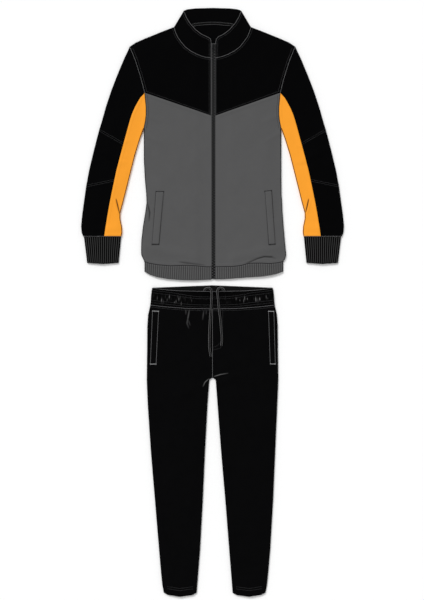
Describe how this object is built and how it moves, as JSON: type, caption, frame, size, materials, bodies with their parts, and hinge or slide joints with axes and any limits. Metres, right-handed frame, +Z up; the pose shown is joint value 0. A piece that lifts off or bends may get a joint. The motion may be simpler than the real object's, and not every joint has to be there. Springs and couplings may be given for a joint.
{
  "type": "tracksuit",
  "caption": "Sports suit laid flat: zip jacket with stand-up collar, rib cuffs and hem band, and tapered trousers with a drawcord waist.",
  "frame": {"origin": "on the surface the suit lies on, under the middle of its outline", "axes": "+X is the wearer's left, across the suit; +Y runs from the legs to the collar; +Z is up, out of the suit's front"},
  "size_m": [0.7364, 1.649, 0.0129],
  "materials": {
    "jacket_black": "matt polyester tricot knit, smooth face",
    "jacket_grey": "matt polyester tricot knit, smooth face",
    "jacket_orange": "matt polyester tricot knit, smooth face",
    "cuff_rib": "matt rib knit, ribs along the arm",
    "hem_rib": "matt rib knit, ribs up and down",
    "neck_tape": "matt woven tape",
    "zip_tape": "matt woven tape",
    "zip_teeth": "moulded teeth, semi-matt",
    "zip_metal": "semi-matt black lacquer",
    "trouser_black": "matt polyester tricot knit, smooth face",
    "waistband_black": "matt knit gathered over elastic",
    "drawcord": "matt braided cord"
  },
  "bodies": {
    "suit": {"jacket_back_yoke": "jacket_black", "jacket_front_yoke_left": "jacket_black", "jacket_front_yoke_right": "jacket_black", "sleeve_upper_left": "jacket_black", "sleeve_elbow_left": "jacket_black", "sleeve_forearm_left": "jacket_black", "sleeve_upper_right": "jacket_black", "sleeve_elbow_right": "jacket_black", "sleeve_forearm_right": "jacket_black", "collar_outer": "jacket_black", "collar_inner": "jacket_black", "jacket_back_body": "jacket_grey", "jacket_front_body_left": "jacket_grey", "jacket_front_body_right": "jacket_grey", "jacket_welt_left": "jacket_grey", "jacket_welt_right": "jacket_grey", "sleeve_under_left": "jacket_orange", "sleeve_under_right": "jacket_orange", "cuff_left": "cuff_rib", "cuff_right": "cuff_rib", "hem_band": "hem_rib", "neck_tape": "neck_tape", "zip_tape_left": "zip_tape", "zip_tape_right": "zip_tape", "zip_teeth_left": "zip_teeth", "zip_teeth_right": "zip_teeth", "zip_slider": "zip_metal", "trouser_front_left": "trouser_black", "trouser_front_right": "trouser_black", "trouser_back_left": "trouser_black", "trouser_back_right": "trouser_black", "trouser_welt_left": "trouser_black", "trouser_welt_right": "trouser_black", "waistband": "waistband_black", "drawcord_left": "drawcord", "drawcord_right": "drawcord"},
    "pull_tab": {"zip_pull": "zip_metal"}
  },
  "joints": [
    {"name": "pull_tab_hinge", "type": "hinge", "parent": "suit", "child": "pull_tab", "pos_m": [0.0026, 0.7186, 0.0085], "axis": [-1, 0, 0], "range_deg": [0, 165]}
  ]
}
